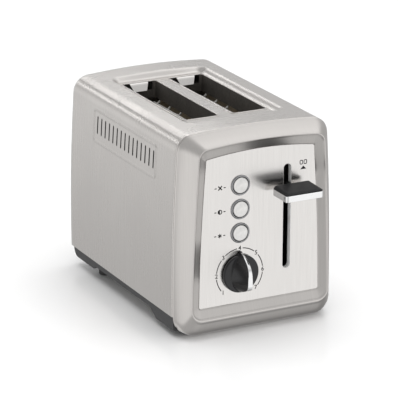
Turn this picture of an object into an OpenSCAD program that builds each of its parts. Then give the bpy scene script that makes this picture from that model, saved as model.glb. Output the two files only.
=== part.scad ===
// Two-slice pop up toaster, built as its separate pieces. Millimetres, +Z up.
// The origin is on the table under the middle of the toaster; the control panel faces -Y.

/* [Overall] */
// Height from the table to the crown of the top
height = 196; // [194:0.5:198]
// Width across the sides where they are widest
width = 164; // [162:0.5:166]
// Depth from the face of the control panel to the back of the rear cover
depth = 240; // [238:1:244]
// How far the lever paddle reaches in front of the control panel
lever_reach = 34; // [30:1:38]
// How far the crumb tray handle stands behind the rear cover
tray_handle_reach = 4; // [3:0.5:6]

/* [Bread slots] */
// Length of each bread slot
slot_length = 134.4; // [130:0.2:136]
// Width of each bread slot
slot_width = 37.2; // [34:0.2:38]
// Distance between the middles of the two slots
slot_pitch = 50.8; // [50:0.2:52]
// Distance from the panel face to the front end of the slots
slot_start = 67.7; // [67:0.1:69]
// Depth of the liner wall below the top pan
liner_depth = 17; // [14:1:18]

/* [Lever] */
// Middle of the lever slot, to the right of the panel's centre
lever_x = 28.3; // [27:0.1:29]
// How far the lever can be pushed down
lever_down = 78; // [70:1:78]
// How far the lever can be lifted above its resting place
lever_up = 14; // [8:1:14]

/* [Controls] */
// Middle of the button column, to the left of the panel's centre
button_x = -20.6; // [-22:0.1:-19]
// Height of the lowest button
button_low_z = 98.2; // [96:0.1:100]
// Distance from one button to the next
button_pitch = 23; // [22:0.1:24]
// Diameter of a button's cap
button_d = 15.2; // [14:0.1:16]
// Height of the knob's axis
knob_z = 59.1; // [58:0.1:61]
// Diameter of the knob's base
knob_d = 36.5; // [34:0.5:37]

/* [Vents] */
// Number of vent slits on each side
vent_count = 15; // [9:1:15]
// Distance from one vent slit to the next
vent_pitch = 8.6; // [8:0.1:8.8]

/* [Hidden] */

$fn = 48;
eps = 0.01;
panel_y = lever_reach - (lever_reach + depth + tray_handle_reach) / 2;

// Sheet and wall thicknesses
sheet = 0.7;
panel_sheet = 1.2;
bezel_wall = 1.2;
wall = 2.5;
plate = 0.8;

// Depths behind the panel face, front to back
ridge_d = -4.3;
seam_d = 15.4;
wrap_start = 16.2;
chassis_front_d = 60;
chassis_rear_d = 206;
wrap_end = depth - 4;

// Heights
wrap_low_z = 20;
base_low_z = 13.8;
base_floor_z = 16;
foot_front_z = 6;
foot_rear_z = 10.5;
pan_z = height - 6;
liner_low_z = pan_z - liner_depth;
chassis_low_z = 28;
chassis_top_z = 171;

// An outline is [d, half width at the top corner, half width at the bottom, crown height,
// arch of the top, bottom height, top corner radius, bottom corner radius, bulge of the side]
panel_edge = [0, 56, 62.6, height - 19, 4, 30, 2, 2, 1.2];
ridge = [ridge_d, 65.2, 71.9, height - 8.8, 2.9, 19.2, 10, 12, 0.8];
back_edge = [seam_d, width / 2 - 4, width / 2, height, 2.6, 2, 16, 18, 1.7];
corner_steps = 8;
side_steps = 6;
top_steps = 5;
bottom_steps = 3;

function mix(a, b, t) = a + (b - a) * t;

// One half of an outline, from the bottom centre to just before the top centre
function lower_half(o, g) = concat(
    [for (i = [0 : bottom_steps - 1]) [(o[2] - o[7]) * i / bottom_steps, o[5] + g]],
    [for (i = [0 : corner_steps]) let (a = -90 + 90 * i / corner_steps)
        [o[2] - o[7] + (o[7] - g) * cos(a), o[5] + o[7] + (o[7] - g) * sin(a)]]
);
function upper_half(o, g) = concat(
    [for (i = [1 : side_steps - 1]) let (t = i / side_steps)
        [mix(o[2], o[1], t) + 4 * o[8] * t * (1 - t) - g, mix(o[5] + o[7], o[3] - o[4] - o[6], t)]],
    [for (i = [0 : corner_steps]) let (a = 90 * i / corner_steps)
        [o[1] - o[6] + (o[6] - g) * cos(a), o[3] - o[4] - o[6] + (o[6] - g) * sin(a)]],
    [for (i = [1 : top_steps - 1]) let (t = 1 - i / top_steps)
        [(o[1] - o[6]) * t, o[3] - g - o[4] * t * t]]
);
function mirrored(points, first) = [for (i = [len(points) - 1 : -1 : first]) [-points[i][0], points[i][1]]];
function outline(o, g = 0) = let (half = concat(lower_half(o, g), upper_half(o, g)))
    concat(half, [[0, o[3] - g]], mirrored(half, 1));
// The body's section: the same outline, open below the height at which its sides begin
function body_section(g) = let (half = concat([[back_edge[2] - g, wrap_low_z]], upper_half(back_edge, g)))
    concat(half, [[0, back_edge[3] - g]], mirrored(half, 0));

module along_y(d0, d1) {
    translate([0, panel_y + d1, 0])
        rotate([90, 0, 0])
            linear_extrude(d1 - d0)
                children();
}

// A box given by its X range, its depths behind the panel face and its Z range
module block(x0, x1, d0, d1, z0, z1) {
    translate([x0, panel_y + d0, z0])
        cube([x1 - x0, d1 - d0, z1 - z0]);
}

// A cylinder along Y, given by its depths behind the panel face
module rod_y(x, z, r, d0, d1) {
    translate([x, panel_y + d1, z])
        rotate([90, 0, 0])
            cylinder(r = r, h = d1 - d0);
}

module rod_z(x, d, r, z0, z1) {
    translate([x, panel_y + d, z0])
        cylinder(r = r, h = z1 - z0);
}

module rounded_rect(w, h, r) {
    square([w - 2 * r, h], center = true);
    square([w, h - 2 * r], center = true);
    for (x = [-1, 1], y = [-1, 1])
        translate([x * (w / 2 - r), y * (h / 2 - r)])
            circle(r);
}

// A ring-shaped body skinned over a list of outlines, each [points, d]
module skinned_ring(rings) {
    n = len(rings[0][0]);
    count = len(rings);
    vertices = [for (ring = rings) for (p = ring[0]) [p[0], panel_y + ring[1], p[1]]];
    faces = [
        for (k = [0 : count - 1]) for (i = [0 : n - 1])
            let (a = k * n + i, b = k * n + (i + 1) % n)
            let (c = ((k + 1) % count) * n + (i + 1) % n, e = ((k + 1) % count) * n + i)
            each [[a, b, c], [a, c, e]]
    ];
    polyhedron(points = vertices, faces = faces, convexity = 6);
}

// ---- Housing ----

vent_z0 = 151;
vent_z1 = 168.5;
vent_w = 1.9;
vent_start = 60.5;
pan_corner = 10;
pan_top_half_x = 52;
pan_top_start = 45;
pan_top_end = 214;
pan_slope = 4.5;
slot_corner = 3.5;

module pan_shape(grow, z_extra) {
    top_w = 2 * (pan_top_half_x + grow);
    top_l = pan_top_end - pan_top_start + 2 * grow;
    floor_corner = pan_corner - pan_slope / 2;
    middle = panel_y + (pan_top_end + pan_top_start) / 2;
    hull() {
        translate([0, middle, pan_z + z_extra])
            linear_extrude(eps)
                rounded_rect(top_w - 2 * pan_slope, top_l - 2 * pan_slope, floor_corner, $fn = 16);
        translate([0, middle, height + 1])
            linear_extrude(eps)
                rounded_rect(top_w + 2, top_l + 2, pan_corner + 1, $fn = 16);
    }
}

module slot_cut(grow, z0, z1) {
    for (side = [-1, 1])
        translate([side * slot_pitch / 2, panel_y + slot_start + slot_length / 2, z0])
            linear_extrude(z1 - z0)
                rounded_rect(slot_width + 2 * grow, slot_length + 2 * grow, slot_corner + grow);
}

module vent_cuts() {
    for (i = [0 : vent_count - 1])
        translate([0, panel_y + vent_start + i * vent_pitch, (vent_z0 + vent_z1) / 2])
            rotate([90, 0, 90])
                linear_extrude(width + 2, center = true)
                    rounded_rect(vent_w, vent_z1 - vent_z0, vent_w / 2 - eps);
}

module body_wrap() {
    color("silver")
        difference() {
            union() {
                difference() {
                    along_y(wrap_start, wrap_end)
                        difference() {
                            polygon(body_section(0));
                            polygon(concat(
                                [[back_edge[2] - sheet, wrap_low_z - 1]],
                                body_section(sheet),
                                [[sheet - back_edge[2], wrap_low_z - 1]]
                            ));
                        }
                    pan_shape(0, 0);
                }
                intersection() {
                    difference() {
                        pan_shape(sheet, -sheet);
                        pan_shape(0, 0);
                    }
                    along_y(wrap_start, wrap_end)
                        polygon(body_section(0));
                }
            }
            slot_cut(0, pan_z - 2, pan_z + 1);
            vent_cuts();
        }
}

// Bezel: the wall of the recess, the ridge, the flare out to the body, and the inside of all three
flare_steps = [0.12, 0.3, 0.5, 0.7, 0.86, 1];
function flare(s) = let (f = 0.5 * s + 0.5 * sin(90 * s), o = mix(ridge, back_edge, f))
    [for (i = [0 : 8])
        i == 0 ? mix(ridge_d, seam_d, s) :
        i == 5 ? mix(ridge[5], back_edge[5], sin(90 * min(1, 1.5 * s))) : o[i]];

module front_bezel() {
    rim = 1.2;
    inner_crest = mix(panel_edge, ridge, 0.87);
    outside = concat(
        [[outline(panel_edge), panel_sheet], [outline(panel_edge), 0], [outline(inner_crest), ridge_d + 0.7]],
        [[outline(mix(panel_edge, ridge, 0.95)), ridge_d + 0.15], [outline(ridge), ridge_d]],
        [for (s = flare_steps) [outline(flare(s)), flare(s)[0]]]
    );
    inside = concat(
        [for (i = [len(flare_steps) - 1 : -1 : 0])
            let (s = flare_steps[i], o = flare(s))
            [outline(o, bezel_wall), s == 1 ? seam_d : o[0] + bezel_wall * (1 - s)]],
        [[outline(ridge, bezel_wall / 2), ridge_d + rim], [outline(mix(panel_edge, ridge, 0.3)), panel_sheet]]
    );
    color("silver")
        skinned_ring(concat(outside, inside));
}

module panel_holes(d0, d1, ring_r, shaft_r, slot_extra) {
    for (i = [0 : 2])
        rod_y(button_x, button_low_z + i * button_pitch, ring_r, d0, d1);
    rod_y(button_x, knob_z, shaft_r, d0, d1);
    along_y(d0, d1)
        translate([lever_x, (lever_slot_z0 + lever_slot_z1) / 2])
            rounded_rect(lever_slot_w + slot_extra, lever_slot_z1 - lever_slot_z0 + slot_extra,
                (lever_slot_w + slot_extra) / 2 - eps);
}

lever_slot_w = 8.3;
// The lever arm at rest; the slot is as long as its travel, with clearance below and above it
arm_z0 = 134.6;
arm_z1 = 140;
slot_clear_low = 0.9;
slot_clear_high = 3.9;
lever_slot_z0 = arm_z0 - lever_down - slot_clear_low;
lever_slot_z1 = arm_z1 + lever_up + slot_clear_high;
ring_neck_r = 9;
ring_r = 9.8;
shaft_r = 3;

// The sheet is folded inwards round the lever slot
slot_fold_t = 1;
slot_fold_d = 5.3;
module control_panel() {
    color("gainsboro")
        difference() {
            union() {
                along_y(0, panel_sheet)
                    polygon(outline(panel_edge, 0.1));
                along_y(panel_sheet - eps, slot_fold_d)
                    translate([lever_x, (lever_slot_z0 + lever_slot_z1) / 2])
                        rounded_rect(lever_slot_w + 2 * slot_fold_t,
                            lever_slot_z1 - lever_slot_z0 + 2 * slot_fold_t,
                            lever_slot_w / 2 + slot_fold_t - eps);
            }
            panel_holes(-1, slot_fold_d + 1, ring_neck_r + 0.05, 4, 0);
        }
}

backing_d0 = 1.3;
backing_d1 = 3.8;
module panel_backing() {
    color("dimgray")
        difference() {
            union() {
                along_y(backing_d0, backing_d1)
                    polygon(outline(panel_edge, 1.5));
                for (x = [-48, 48], z = [42, 165])
                    rod_y(x, z, 3.5, backing_d1, 13.5);
            }
            panel_holes(backing_d0 - 1, backing_d1 + 1, ring_neck_r + 0.05, 4, 2 * slot_fold_t + 0.6);
        }
}

module front_frame() {
    color("dimgray")
        difference() {
            union() {
                along_y(13.5, wrap_start)
                    polygon(outline(back_edge, bezel_wall + 1.6));
                along_y(seam_d, wrap_start)
                    polygon(outline(back_edge, 2));
            }
            along_y(13, wrap_start + 1)
                translate([0, 96])
                    rounded_rect(122, 144, 6);
        }
}

// Each rear screw sits on the frame's rim: [x, z]
rear_screw_at = [[76.5, 46], [73.5, 160]];
module rear_screw_places() {
    for (side = [-1, 1], at = rear_screw_at)
        translate([side * at[0], 0, at[1]])
            children();
}

tray_open_half = 61;
tray_open_z1 = 27.5;
gland_x = 46;
gland_z = 46;
gland_r = 7;
rear_vent_count = 9;
rear_vent_z = 132;
rear_vent_h = 34;
cover_sheet = 1.2;
cover_inset = 1.5;
rear_flange = 2.4;
rear_rim = 9;

// The rear frame closes the wrap and carries the rear cover on its rim
module rear_frame() {
    color("silver")
        difference() {
            union() {
                along_y(wrap_end, depth - cover_sheet)
                    difference() {
                        polygon(body_section(0));
                        polygon(concat([[back_edge[2] - rear_rim, wrap_low_z - 1]], body_section(rear_rim),
                            [[rear_rim - back_edge[2], wrap_low_z - 1]]));
                    }
                along_y(wrap_end - 6, wrap_end + eps)
                    difference() {
                        polygon(body_section(sheet + 0.1));
                        polygon(concat(
                            [[back_edge[2] - rear_flange, wrap_low_z - 1]],
                            body_section(rear_flange),
                            [[rear_flange - back_edge[2], wrap_low_z - 1]]
                        ));
                    }
            }
            block(-back_edge[2], back_edge[2], wrap_end - 7, wrap_end, wrap_low_z - 1, 30);
            rear_screw_places()
                rod_y(0, 0, 1.55, wrap_end - 1, depth + 1);
        }
}

module rear_cover() {
    color("silver")
        difference() {
            along_y(depth - cover_sheet, depth)
                polygon(body_section(cover_inset));
            block(-tray_open_half, tray_open_half, wrap_end, depth + 1, wrap_low_z - 1, tray_open_z1);
            rod_y(gland_x, gland_z, gland_r - 1.4, wrap_end - 1, depth + 1);
            rear_screw_places()
                rod_y(0, 0, 1.7, wrap_end - 1, depth + 1);
            for (i = [0 : rear_vent_count - 1])
                along_y(wrap_end - 1, depth + 1)
                    translate([(i - (rear_vent_count - 1) / 2) * vent_pitch, rear_vent_z])
                        rounded_rect(2.4, rear_vent_h, 1.2 - eps);
        }
}

// The base's skirt follows the wrap; it is deeper at the feet and shallower between them
base_half = back_edge[2] - 1.4;
base_d0 = wrap_start + 0.3;
base_d1 = wrap_end - 0.3;
foot_front_end = 52;
foot_front_ramp = 14;
foot_rear_start = 186;
foot_rear_ramp = 4;
base_corner = 9;
base_wall = 4.1;
base_ledge = 12;
foot_block_x = 46;
boss_x = 72;
boss_r = 4;
screw_head_r = 2.8;
screw_head_h = 1.8;
boss_ds = [62, 205];
foot_x = 62;
foot_ds = [34, 199];
foot_tops = [foot_front_z, foot_rear_z];
foot_r = 8;
foot_stem_r = 6;

// The skirt seen from the side, as depth behind the panel face and height
function skirt_side() = concat(
    [[base_d0, wrap_low_z], [base_d0, foot_front_z], [foot_front_end, foot_front_z],
        [foot_front_end + foot_front_ramp, base_low_z], [foot_rear_start, base_low_z],
        [foot_rear_start + foot_rear_ramp, foot_rear_z]],
    [for (i = [0 : 6]) let (a = -90 + 15 * i)
        [base_d1 - base_corner + base_corner * cos(a), foot_rear_z + base_corner + base_corner * sin(a)]],
    [[base_d1, wrap_low_z]]
);

module base() {
    color("#202020")
        difference() {
            union() {
                translate([-base_half, panel_y, 0])
                    rotate([90, 0, 90])
                        linear_extrude(2 * base_half)
                            polygon(skirt_side());
                block(-base_half + 1.6, base_half - 1.6, base_d0, wrap_end - 6.3, wrap_low_z, wrap_low_z + 6);
            }
            difference() {
                union() {
                    block(-base_half + base_wall, base_half - base_wall, base_d0 + wall, wrap_end + 1,
                        base_floor_z - 1, wrap_low_z + 7);
                    block(-base_half + base_ledge, base_half - base_ledge,
                        foot_front_end + foot_front_ramp + 3, foot_rear_start - 3,
                        foot_front_z - 1, base_floor_z);
                    block(-foot_block_x, foot_block_x, base_d0 + wall, base_d1 - base_corner,
                        foot_front_z - 1, base_floor_z);
                }
                for (x = [-boss_x, boss_x], d = boss_ds)
                    rod_z(x, d, boss_r, foot_front_z, chassis_low_z - 0.1);
            }
            for (x = [-boss_x, boss_x], d = boss_ds) {
                rod_z(x, d, 1.5, foot_front_z - 1, chassis_low_z + 1);
                rod_z(x, d, screw_head_r + 0.5, foot_front_z - 1, base_low_z);
            }
            for (x = [-foot_x, foot_x], i = [0, 1])
                rod_z(x, foot_ds[i], foot_stem_r + 0.05, foot_tops[i] - 1, foot_tops[i] + 3);
        }
}

module bottom_plate() {
    color("lightgray")
        difference() {
            block(-base_half + base_wall + 0.1, base_half - base_wall - 0.1, base_d0 + wall + 0.1, base_d1,
                base_floor_z - 1, base_floor_z);
            for (x = [-boss_x, boss_x], d = boss_ds)
                rod_z(x, d, boss_r + 0.2, base_floor_z - 2, base_floor_z + 1);
        }
}

module rubber_feet() {
    color("#181818")
        for (x = [-foot_x, foot_x], i = [0, 1]) {
            rod_z(x, foot_ds[i], foot_stem_r, foot_tops[i] - eps, foot_tops[i] + 3);
            rod_z(x, foot_ds[i], foot_r, 0, foot_tops[i]);
        }
}

module base_screws() {
    color("gray")
        for (x = [-boss_x, boss_x], d = boss_ds) {
            rod_z(x, d, 1.4, base_low_z - eps, chassis_low_z - 2);
            rod_z(x, d, screw_head_r, base_low_z - screw_head_h, base_low_z);
        }
}

module rear_screws() {
    color("gray")
        rear_screw_places() {
            rod_y(0, 0, 1.5, wrap_end - 5, depth);
            rod_y(0, 0, 3.1, depth, depth + 1.7);
        }
}

module chassis_screws() {
    color("gray")
        for (x = [-rail_screw_x, rail_screw_x], z = rail_screw_zs) {
            rod_y(x, z, screw_head_r, chassis_front_d - screw_head_h, chassis_front_d);
            rod_y(x, z, 1.4, chassis_front_d - eps, chassis_front_d + 6);
            rod_y(x, z, screw_head_r, chassis_rear_d + plate, chassis_rear_d + plate + screw_head_h);
            rod_y(x, z, 1.4, chassis_rear_d - 6, chassis_rear_d + plate + eps);
        }
}

gland_bore_r = 3.7;
module cord_gland() {
    color("#202020")
        difference() {
            union() {
                rod_y(gland_x, gland_z, gland_r - 1.5, wrap_end - 10, depth);
                rod_y(gland_x, gland_z, gland_r, depth, depth + 3);
                rod_y(gland_x, gland_z, gland_r, wrap_end - 0.4, depth - cover_sheet - 0.1);
            }
            rod_y(gland_x, gland_z, gland_bore_r, wrap_end - 11, depth + 4);
        }
}

module terminal_block() {
    color("ivory")
        difference() {
            block(20, 44, 218, 229, 60, 74);
            for (x = [26, 38])
                rod_y(x, 67, 2, 217, 224);
        }
}

module mains_leads() {
    color("white")
        for (x = [-78.6, -75.9])
            rod_y(x, 36, 1.2, 30, 226);
}

// ---- Chassis and heating ----

lifter_slot_z0 = 37;
lifter_slot_z1 = 143;
guide_x = 15.5;
guide_axle_z = 36;
guide_axle_r = 1.2;
rod_d = 49;
rod_r = 3;
chassis_half = 74;
rail_screw_x = 68;
rail_screw_zs = [60, 140];

module rail_screw_holes(d0, d1) {
    for (x = [-rail_screw_x, rail_screw_x], z = rail_screw_zs)
        rod_y(x, z, 1.45, d0, d1);
}

module chassis_plate(d0) {
    difference() {
        union() {
            block(-chassis_half, chassis_half, d0, d0 + plate, chassis_low_z, chassis_top_z);
            block(-chassis_half, chassis_half, d0 + (d0 < 100 ? 0 : -10), d0 + plate + (d0 < 100 ? 10 : 0),
                chassis_low_z, chassis_low_z + plate);
        }
        for (side = [-1, 1])
            block(side * slot_pitch / 2 - 2.2, side * slot_pitch / 2 + 2.2, d0 - 1, d0 + plate + 1,
                lifter_slot_z0, lifter_slot_z1);
        for (side = [-1, 1], edge = [-1, 1])
            rod_y(side * slot_pitch / 2 + edge * guide_x, guide_axle_z, guide_axle_r + 0.05,
                d0 - 1, d0 + plate + 1);
        rail_screw_holes(d0 - 1, d0 + plate + 1);
    }
}

module chassis_front_plate() {
    color("lightgray")
        difference() {
            union() {
                chassis_plate(chassis_front_d);
                for (z = [chassis_low_z, chassis_top_z - 1.5])
                    block(-9, 9, rod_d - 7, chassis_front_d, z, z + 1.5);
            }
            rod_z(0, rod_d, rod_r + 0.02, chassis_low_z - 1, chassis_top_z + 1);
        }
}

module chassis_rear_plate() {
    color("lightgray")
        chassis_plate(chassis_rear_d);
}

tongue_depth = 8.6;
tongue_top_half = 10.4;
tongue_low_half = 7;
module slot_liner(side) {
    x = side * slot_pitch / 2;
    color("darkgray")
        difference() {
            translate([x, panel_y + slot_start + slot_length / 2, liner_low_z])
                linear_extrude(pan_z - 0.2 - liner_low_z)
                    difference() {
                        rounded_rect(slot_width - 0.1, slot_length - 0.1, slot_corner - 0.05);
                        rounded_rect(slot_width - 1.6, slot_length - 1.6, slot_corner - 0.8);
                    }
            // The rear end is cut away on both sides of its tongue
            for (edge = [-1, 1])
                translate([x, panel_y + slot_start + slot_length, pan_z - tongue_depth])
                    rotate([90, 0, 0])
                        linear_extrude(2.4, center = true)
                            polygon([[edge * tongue_low_half, 0], [edge * tongue_top_half, tongue_depth],
                                [edge * (slot_width / 2 - slot_corner), tongue_depth],
                                [edge * (slot_width / 2 - slot_corner), 0]]);
        }
}

module slot_liner_left() {
    slot_liner(-1);
}

module slot_liner_right() {
    slot_liner(1);
}

module reflector(side) {
    color("lightgray")
        difference() {
            translate([0, panel_y, 32])
                linear_extrude(136)
                    for (end = [chassis_front_d + plate, chassis_rear_d - 0.6]) {
                        translate([side * 62 - 0.3, chassis_front_d + plate])
                            square([0.6, chassis_rear_d - chassis_front_d - plate]);
                        translate([side > 0 ? 62 : -73, end])
                            square([11, 0.6]);
                    }
            rail_screw_holes(chassis_front_d, chassis_rear_d + 1);
        }
}

module reflector_left() {
    reflector(-1);
}

module reflector_right() {
    reflector(1);
}

board_t = 1.2;
board_z0 = 42;
board_z1 = 170;
module heater_board(x) {
    color("tan")
        difference() {
            block(x - board_t / 2, x + board_t / 2, chassis_front_d + plate, chassis_rear_d,
                board_z0, board_z1);
            for (i = [0 : 4])
                block(x - 1, x + 1, 78 + i * 28, 84 + i * 28, board_z0 + 4, board_z0 + 8);
        }
}

module heater_board_left() {
    heater_board(-slot_pitch);
}

module heater_board_centre() {
    heater_board(0);
}

module heater_board_right() {
    heater_board(slot_pitch);
}

ribbon_count = 14;
ribbon_t = 0.3;
// A heating ribbon is wound round its board, so it shows as upright strips on both faces
module heating_ribbon(x) {
    color("darkslategray")
        for (i = [0 : ribbon_count - 1], side = [-1, 1]) {
            middle = x + side * (board_t + ribbon_t) / 2;
            block(middle - ribbon_t / 2, middle + ribbon_t / 2,
                70 + i * 9.4, 71.6 + i * 9.4, board_z0 + 10, board_z1 - 8);
        }
}

module heating_ribbon_left() {
    heating_ribbon(-slot_pitch);
}

module heating_ribbon_centre() {
    heating_ribbon(0);
}

module heating_ribbon_right() {
    heating_ribbon(slot_pitch);
}

// A bread guide is a welded wire grille that hinges on its bottom wire
guide_top_z = 169;
guide_wire_r = 1;
guide_wires = 6;
module bread_guide(side, edge) {
    x = side * slot_pitch / 2 + edge * guide_x;
    color("silver") {
        rod_y(x, guide_axle_z, guide_axle_r, chassis_front_d - 1.5, chassis_rear_d + plate + 1.5);
        rod_y(x - edge * 0.6, guide_top_z, guide_wire_r, slot_start + 4, slot_start + slot_length - 4);
        for (i = [0 : guide_wires - 1]) {
            d = slot_start + 10 + i * (slot_length - 20) / (guide_wires - 1);
            rod_z(x, d, guide_wire_r, guide_axle_z, guide_top_z);
            translate([x, panel_y + d, guide_top_z])
                sphere(guide_wire_r);
            translate([x, panel_y + d, guide_top_z])
                rotate([0, edge * 50, 0])
                    cylinder(r = guide_wire_r, h = 4);
        }
    }
}

module bread_guide_left_outer() {
    bread_guide(-1, -1);
}

module bread_guide_left_inner() {
    bread_guide(-1, 1);
}

module bread_guide_right_inner() {
    bread_guide(1, -1);
}

module bread_guide_right_outer() {
    bread_guide(1, 1);
}

// ---- Carriage, drawn at its resting height ----

carriage_z0 = 112;
carriage_z1 = 136;
carriage_d0 = 54;
carriage_d1 = 56;
hub_r = 5.6;

module guide_rod() {
    color("silver")
        rod_z(0, rod_d, rod_r, chassis_low_z - 0.5, chassis_top_z + 1);
}

module carriage() {
    color("darkgray")
        difference() {
            union() {
                block(-34, 36, carriage_d0, carriage_d1, carriage_z0, carriage_z1);
                rod_z(0, rod_d, hub_r, carriage_z0, carriage_z1);
                block(-hub_r, hub_r, rod_d, carriage_d0 + eps, carriage_z0, carriage_z1);
            }
            rod_z(0, rod_d, rod_r + 0.06, carriage_z0 - 1, carriage_z1 + 1);
        }
}

lifter_z0 = 117;
lifter_z1 = 123;
finger_count = 9;
module bread_lifter(side) {
    x = side * slot_pitch / 2;
    color("silver") {
        block(x - 0.8, x + 0.8, carriage_d1, chassis_rear_d + 6, lifter_z0, lifter_z1);
        for (i = [0 : finger_count - 1])
            block(x - 11.5, x + 11.5, 73 + i * 15, 77 + i * 15, lifter_z1 - eps, lifter_z1 + 1.2);
    }
}

module bread_lifter_left() {
    bread_lifter(-1);
}

module bread_lifter_right() {
    bread_lifter(1);
}

magnet_x = -28;
module latch_plate() {
    color("silver")
        block(magnet_x - 6, magnet_x + 6, 42, carriage_d0, carriage_z0 + 3, carriage_z0 + 6);
}

module electromagnet() {
    color("peru") {
        block(magnet_x - 7, magnet_x + 7, 42, 52, chassis_low_z + 1, chassis_low_z + 3);
        rod_z(magnet_x, 47, 4, chassis_low_z + 3 - eps, chassis_low_z + 8.4);
    }
}

arm_half = 2.2;
module lever_arm() {
    color("dimgray") {
        block(lever_x - arm_half, lever_x + arm_half, -20, carriage_d0, arm_z0, arm_z1);
        block(lever_x - arm_half, lever_x + arm_half, carriage_d0 - 2, carriage_d0,
            carriage_z0 + 4, arm_z0 + eps);
    }
}

paddle_w = 38.9;
paddle_z0 = 132.4;
paddle_z1 = 142;
paddle_back = -6.2;
trim_z1 = 138.3;
trim_t = 1;
paddle_corner = 2.5;
paddle_drop = 1.6;

module paddle_plan(g) {
    translate([lever_x, panel_y + (paddle_back - lever_reach) / 2])
        rounded_rect(paddle_w - 2 * g, lever_reach + paddle_back - 2 * g, paddle_corner - g / 2);
}

module lever_paddle() {
    color("#181818")
        difference() {
            intersection() {
                union() {
                    translate([0, 0, paddle_z0 + 0.2])
                        linear_extrude(trim_z1 - paddle_z0)
                            paddle_plan(trim_t + 0.05);
                    translate([0, 0, trim_z1 + 0.1])
                        linear_extrude(paddle_z1 - trim_z1)
                            paddle_plan(0.3);
                }
                // The top falls slightly towards the front
                translate([lever_x - paddle_w, panel_y, 0])
                    rotate([90, 0, 90])
                        linear_extrude(2 * paddle_w)
                            polygon([[paddle_back + 1, paddle_z0 - 1], [paddle_back + 1, paddle_z1],
                                [-lever_reach - 1, paddle_z1 - paddle_drop],
                                [-lever_reach - 1, paddle_z0 - 1]]);
            }
            block(lever_x - arm_half - 0.05, lever_x + arm_half + 0.05, -20.05, 0,
                arm_z0 - 0.05, arm_z1 + 0.05);
        }
}

module lever_trim() {
    color("silver")
        difference() {
            translate([0, 0, paddle_z0])
                linear_extrude(trim_z1 - paddle_z0)
                    difference() {
                        paddle_plan(0);
                        paddle_plan(trim_t);
                    }
            block(lever_x - paddle_w / 2 + trim_t, lever_x + paddle_w / 2 - trim_t,
                paddle_back - 4, paddle_back + 1, paddle_z0 - 1, trim_z1 + 1);
        }
}

// Extension spring that carries the carriage, hooked over its top tab
spring_x = -14;
spring_r = 4;
spring_wire_r = 0.5;
spring_turns = 14;
spring_seg = 10;
spring_sides = 5;
spring_z0 = carriage_z1 + 0.2;
spring_z1 = chassis_top_z - 2.2;
module lift_spring() {
    steps = spring_turns * spring_seg;
    rings = [for (k = [0 : steps]) let (a = 360 * k / spring_seg, z = mix(spring_z0, spring_z1, k / steps))
        [for (s = [0 : spring_sides - 1])
            let (b = 360 * s / spring_sides, r = spring_r + spring_wire_r * cos(b))
            [spring_x + r * cos(a), panel_y + rod_d + r * sin(a), z + spring_wire_r * sin(b)]]];
    vertices = [for (ring = rings) for (p = ring) p];
    sides = [for (k = [0 : steps - 1]) for (s = [0 : spring_sides - 1])
        let (a = k * spring_sides + s, b = k * spring_sides + (s + 1) % spring_sides)
        each [[a, b, b + spring_sides], [a, b + spring_sides, a + spring_sides]]];
    ends = [
        [for (s = [spring_sides - 1 : -1 : 0]) s],
        [for (s = [0 : spring_sides - 1]) steps * spring_sides + s]
    ];
    color("silver")
        polyhedron(points = vertices, faces = concat(sides, ends), convexity = 10);
}

// ---- Controls ----

board_d0 = 19.5;
button_travel = 2.5;
cap_front = -1.4;
cap_back = 4.5;
stem_back = 12;
// The stem stops just short of its switch when the button is pressed home
stem_gap = 0.7;
switch_front = stem_back + button_travel + stem_gap;

module circuit_board() {
    color("darkgreen")
        difference() {
            block(-58, 8, board_d0, board_d0 + 1.6, 36, 156);
            for (x = [-53, 3], z = [41, 151])
                rod_y(x, z, 1.6, board_d0 - 1, board_d0 + 3);
        }
}

module button_switches() {
    color("black")
        for (i = [0 : 2]) {
            z = button_low_z + i * button_pitch;
            block(button_x - 5, button_x + 5, switch_front + 1.4, board_d0, z - 5, z + 5);
            rod_y(button_x, z, 1.8, switch_front, switch_front + 1.4 + eps);
        }
}

module button_rings() {
    color("silver")
        for (i = [0 : 2])
            translate([button_x, panel_y, button_low_z + i * button_pitch])
                rotate([90, 0, 0])
                    rotate_extrude()
                        polygon([[button_d / 2 + 0.35, -3.6], [ring_neck_r, -3.6], [ring_neck_r, 0],
                            [ring_r, 0], [ring_r - 0.3, 1], [ring_r - 1, 1.4],
                            [button_d / 2 + 0.9, 1.2], [button_d / 2 + 0.35, 0.6]]);
}

module button(z) {
    color("gainsboro")
        translate([button_x, panel_y, z])
            rotate([90, 0, 0])
                rotate_extrude()
                    polygon([[0, -stem_back], [2.4, -stem_back], [2.4, -cap_back], [button_d / 2, -cap_back],
                        [button_d / 2, -cap_front - 0.6], [button_d / 2 - 0.6, -cap_front], [0, -cap_front]]);
}

module button_stop() {
    button(button_low_z + 2 * button_pitch);
}

module button_one_side() {
    button(button_low_z + button_pitch);
}

module button_frozen() {
    button(button_low_z);
}

pot_front = 8;
module timer_pot() {
    color("slategray")
        difference() {
            union() {
                rod_y(button_x, knob_z, 8.5, pot_front + 2, board_d0);
                rod_y(button_x, knob_z, 4.4, pot_front, pot_front + 2 + eps);
            }
            rod_y(button_x, knob_z, shaft_r + 0.06, pot_front - 1, pot_front + 6);
        }
}

knob_plate = -4;
knob_back = -0.8;
module knob_shaft() {
    color("silver")
        rod_y(button_x, knob_z, shaft_r, -10, pot_front + 5.5);
}

// The grip's crest seen from the side, as height above the knob's axis and distance in front of the panel
crest = [
    [21.6, 1.4], [19.4, 7.7], [16, 12.6], [12.8, 17.2], [8.8, 19.9],
    [2, 21.5], [-6, 21.5], [-10.4, 19.9], [-17, 4.4]
];
crest_half = 2;
trim_strip_t = 0.8;
trim_strip_half = 0.9;
grip_half = 12.6;
grip_widest = -2;
grip_low_h = 14.5;
trim_low_d = 5;

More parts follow.
